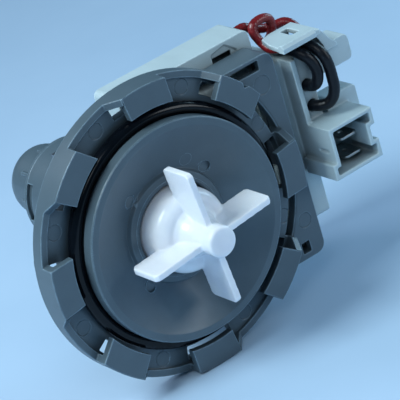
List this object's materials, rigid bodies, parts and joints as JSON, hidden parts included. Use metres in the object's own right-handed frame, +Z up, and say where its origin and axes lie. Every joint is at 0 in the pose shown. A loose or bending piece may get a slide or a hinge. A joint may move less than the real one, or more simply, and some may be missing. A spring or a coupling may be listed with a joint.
{
  "type": "washing machine drain pump",
  "caption": "Washer drain pump: open impeller on a sealed rotor can, bayonet ring with sump spigot, side stator under a pale cover, socket and clipped leads.",
  "frame": {"origin": "on the rotor axis, in the plane of the bayonet latches' front faces", "axes": "-Y along the rotor axis towards the impeller, +X from the rotor to the stator's yoke and the mains socket, +Z up"},
  "size_m": [0.1174, 0.0982, 0.088],
  "materials": {
    "grey_plastic": "fine satin moulding texture",
    "pale_plastic": "satin glass-filled moulding",
    "white_plastic": "smooth translucent white moulding",
    "rubber": "matte black",
    "black_sleeve": "soft satin sleeve",
    "red_sleeve": "satin sleeve",
    "steel": "bright rolled steel",
    "laminations": "stacked electrical steel, dull edges",
    "sintered_bronze": "porous sintered bush",
    "magnet": "sintered ferrite, matte",
    "coil_tape": "pale insulating tape wound over the coil",
    "fibre": "plain moulded washer",
    "tinned_brass": "tinned blade"
  },
  "bodies": {
    "pump_body": {"pump_housing": "grey_plastic", "rear_cap": "grey_plastic", "spigot_o_ring": "rubber", "bearing_plate": "grey_plastic", "front_bush": "sintered_bronze", "front_bush_seat": "rubber", "rear_bush": "sintered_bronze", "rear_bush_seat": "rubber", "stator_core": "laminations", "core_rivets": "steel", "stator_screws": "steel", "upper_bobbin": "pale_plastic", "lower_bobbin": "pale_plastic", "upper_winding": "coil_tape", "lower_winding": "coil_tape", "coil_cover": "pale_plastic", "terminal_housing": "pale_plastic", "upper_terminal_tab": "tinned_brass", "lower_terminal_tab": "tinned_brass", "lead_clip": "pale_plastic", "thermal_fuse": "fibre", "red_coil_lead": "red_sleeve", "red_loop_lead": "red_sleeve", "inner_black_lead": "black_sleeve", "outer_black_lead": "black_sleeve"},
    "rotor": {"rotor_shaft": "steel", "rotor_magnet": "magnet", "magnet_core": "white_plastic", "front_thrust_washer": "fibre", "rear_thrust_washer": "fibre", "drive_dog": "white_plastic"},
    "impeller_body": {"impeller": "white_plastic", "coupling_lid": "white_plastic", "stop_pads": "rubber"}
  },
  "joints": [
    {"name": "rotor_spin", "type": "hinge", "parent": "pump_body", "child": "rotor", "pos_m": [0, 0, 0], "axis": [0, -1, 0], "continuous": true},
    {"name": "coupling_play", "type": "hinge", "parent": "rotor", "child": "impeller_body", "pos_m": [0, 0, 0], "axis": [0, -1, 0], "range_deg": [0, 180]}
  ]
}
